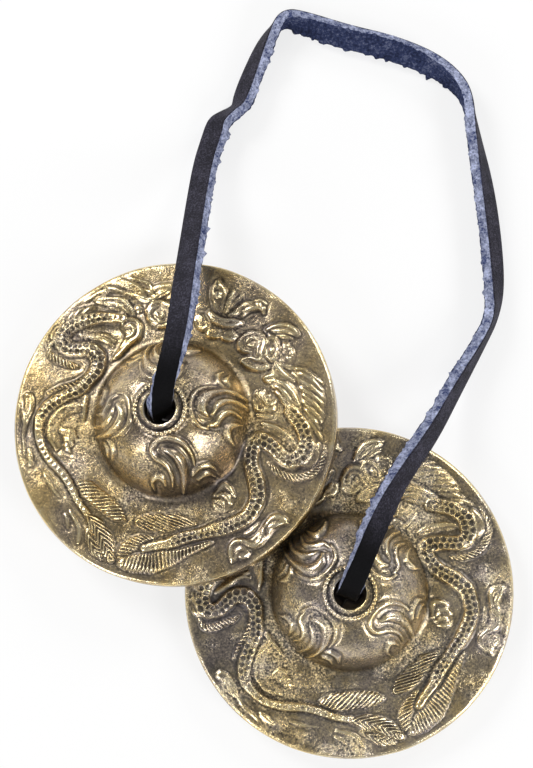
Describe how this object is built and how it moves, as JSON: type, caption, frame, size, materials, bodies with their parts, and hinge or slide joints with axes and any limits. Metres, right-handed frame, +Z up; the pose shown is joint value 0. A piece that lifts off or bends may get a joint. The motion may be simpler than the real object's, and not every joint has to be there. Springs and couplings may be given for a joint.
{
  "type": "tingsha cymbals",
  "caption": "Small thick cast cymbals with domed centres and raised dragon ornament, tied together by a flat leather strap and struck edge to edge.",
  "frame": {"origin": "on the table, midway between the two cymbals", "axes": "+Z up from the table; the right cymbal lies towards +X and -Y, the left one towards -X and +Y, and the strap arches away towards +Y"},
  "size_m": [0.0995, 0.1518, 0.0276],
  "materials": {
    "bell_metal": "cast, patinated dark in the hollows and worn bright on the high spots",
    "strap_leather": "black grain side, dark blue flesh side, pale cut edges"
  },
  "bodies": {
    "right_cymbal": {"right_cymbal": "bell_metal"},
    "right_end": {"right_knot": "strap_leather", "right_bend": "strap_leather"},
    "strap_arch": {"strap": "strap_leather"},
    "left_end": {"left_knot": "strap_leather", "left_bend": "strap_leather"},
    "left_cymbal": {"left_cymbal": "bell_metal"}
  },
  "joints": [
    {"name": "right_spin", "type": "hinge", "parent": "right_cymbal", "child": "right_end", "pos_m": [0.01712, -0.01659, 0], "axis": [0, 0, 1], "continuous": true},
    {"name": "strap_lift", "type": "hinge", "parent": "right_end", "child": "strap_arch", "pos_m": [0.01712, -0.01659, 0.0232], "axis": [0.9372, -0.3488, 0], "range_deg": [0, 80], "deforming": ["right_bend"]},
    {"name": "left_hang", "type": "hinge", "parent": "strap_arch", "child": "left_end", "pos_m": [-0.0191, 0.01851, 0.0269], "axis": [0.9372, -0.3488, 0], "range_deg": [-80, 0], "deforming": ["left_bend"]},
    {"name": "left_spin", "type": "hinge", "parent": "left_end", "child": "left_cymbal", "pos_m": [-0.01712, 0.01659, 0.00387], "axis": [-0.0855, 0.0828, 0.9929], "continuous": true}
  ],
  "couplings": [
    {"joint": "left_hang", "follows": "strap_lift", "ratio": -1}
  ]
}
